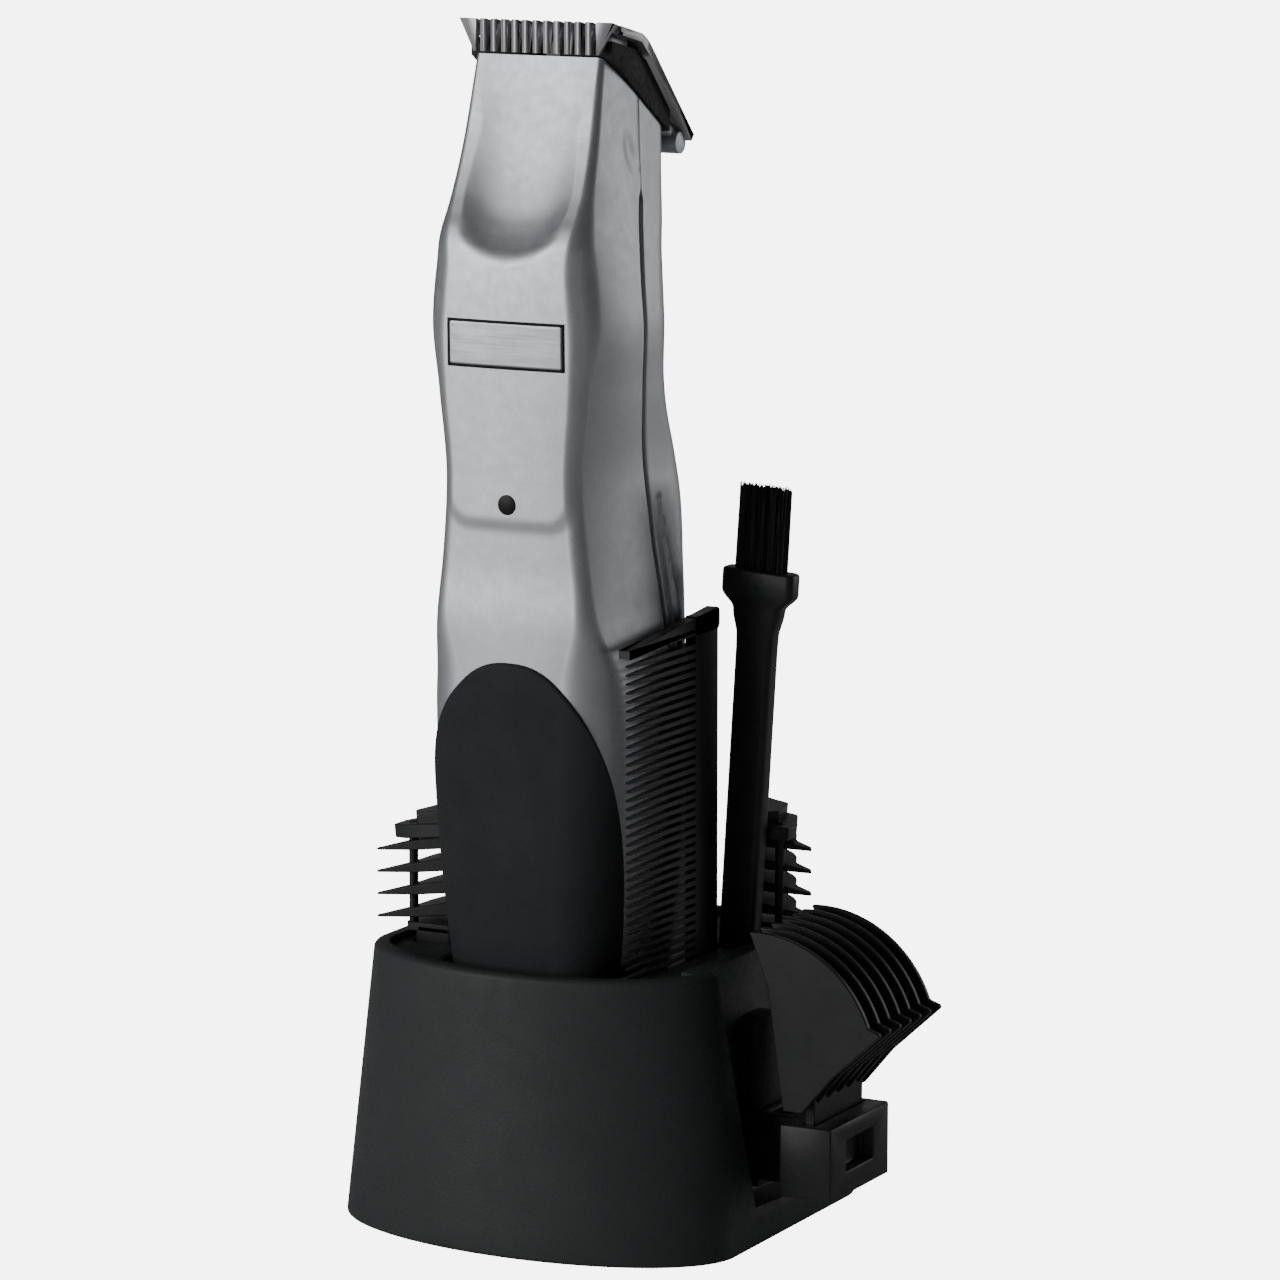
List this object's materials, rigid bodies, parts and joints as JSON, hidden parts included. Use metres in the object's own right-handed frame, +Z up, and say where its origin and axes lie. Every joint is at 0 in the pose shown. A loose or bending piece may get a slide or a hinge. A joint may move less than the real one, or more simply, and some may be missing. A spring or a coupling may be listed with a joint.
{
  "type": "beard trimmer",
  "caption": "Cordless beard trimmer standing in its storage stand, with a comb, a cleaning brush and clip-on guide combs; silver housing with a black soft grip.",
  "frame": {"origin": "on the table, at the centre of the stand's foot, on the underside of the anti-slip pad", "axes": "+Z up, the trimmer's front (the side with the grip, the light and the teeth) faces -Y, the side guide stands on +X"},
  "size_m": [0.0972, 0.0699, 0.2054],
  "materials": {
    "stand_plastic": "fine moulded texture, matte black",
    "silver_paint": "satin silver paint on moulded plastic",
    "rubber": "soft matte black",
    "badge_metal": "brushed, with a raised frame",
    "dark_lens": "smoked, glossy",
    "steel": "machined",
    "blade_steel": "ground steel",
    "brass": "stamped",
    "inner_plastic": "moulded",
    "accessory_plastic": "semi-gloss black",
    "bristle": "nylon bristles",
    "white_plastic": "natural acetal",
    "cell_wrap": "shrink sleeve",
    "board": "solder mask",
    "led": "diffused",
    "wire_cover": "insulated wire"
  },
  "bodies": {
    "stand": {"stand_body": "stand_plastic", "stand_base_plate": "stand_plastic", "stand_screws": "steel", "anti_slip_pad": "rubber"},
    "trimmer": {"front_shell": "silver_paint", "rear_shell": "silver_paint", "front_grip": "rubber", "name_plate": "badge_metal", "charge_light_lens": "dark_lens", "housing_screws": "steel", "battery_cradle": "inner_plastic", "battery_cells": "cell_wrap", "battery_contacts": "brass", "circuit_board": "board", "board_components": "inner_plastic", "charge_socket": "inner_plastic", "charge_led": "led", "lead_wires": "wire_cover", "motor_can": "steel", "motor_end_cap": "white_plastic", "motor_frame": "inner_plastic", "lever_pin": "steel"},
    "switch": {"power_switch": "silver_paint", "switch_contact": "brass"},
    "crank": {"motor_shaft": "steel", "eccentric": "brass"},
    "lever": {"drive_lever": "white_plastic"},
    "head": {"blade_base": "inner_plastic", "blade_heel": "silver_paint", "fixed_blade": "blade_steel", "blade_screws": "steel", "blade_spring": "steel"},
    "cutter": {"moving_blade": "blade_steel"},
    "comb": {"barber_comb": "accessory_plastic"},
    "brush": {"brush_handle": "accessory_plastic", "brush_bristles": "bristle"},
    "side_base": {"side_guide_base": "accessory_plastic"},
    "side_comb": {"side_guide_comb": "accessory_plastic"},
    "left_guide": {"left_guide": "accessory_plastic"},
    "right_guide": {"right_guide": "accessory_plastic"}
  },
  "joints": [
    {"name": "trimmer_lift", "type": "slide", "parent": "stand", "child": "trimmer", "axis": [0, 0, 1], "range_m": [0, 0.12]},
    {"name": "power_switch_slide", "type": "slide", "parent": "trimmer", "child": "switch", "axis": [0, 0, 1], "range_m": [0, 0.004]},
    {"name": "motor_spin", "type": "hinge", "parent": "trimmer", "child": "crank", "pos_m": [0, -0.012, 0.15], "axis": [0, 0, 1], "continuous": true},
    {"name": "lever_rock", "type": "hinge", "parent": "trimmer", "child": "lever", "pos_m": [0, -0.012, 0.175], "axis": [0, 1, 0], "range_deg": [-2.85, 2.85]},
    {"name": "head_hinge", "type": "hinge", "parent": "trimmer", "child": "head", "pos_m": [0, 0.0063, 0.1839], "axis": [-1, 0, 0], "range_deg": [0, 35]},
    {"name": "cutter_stroke", "type": "slide", "parent": "head", "child": "cutter", "axis": [1, 0, 0], "range_m": [-0.00134, 0.00134]},
    {"name": "comb_lift", "type": "slide", "parent": "stand", "child": "comb", "axis": [0, 0, 1], "range_m": [0, 0.095]},
    {"name": "brush_lift", "type": "slide", "parent": "stand", "child": "brush", "axis": [0.061, 0, 0.9981], "range_m": [0, 0.1]},
    {"name": "side_guide_lift", "type": "slide", "parent": "stand", "child": "side_base", "axis": [0, 0, 1], "range_m": [0, 0.032]},
    {"name": "side_guide_adjust", "type": "slide", "parent": "side_base", "child": "side_comb", "axis": [0, 0, 1], "range_m": [0, 0.008]},
    {"name": "left_guide_lift", "type": "slide", "parent": "stand", "child": "left_guide", "axis": [0, 0, 1], "range_m": [0, 0.03]},
    {"name": "right_guide_lift", "type": "slide", "parent": "stand", "child": "right_guide", "axis": [0, 0, 1], "range_m": [0, 0.03]}
  ],
  "couplings": [
    {"joint": "cutter_stroke", "follows": "lever_rock", "m_per_rad": 0.02675}
  ]
}
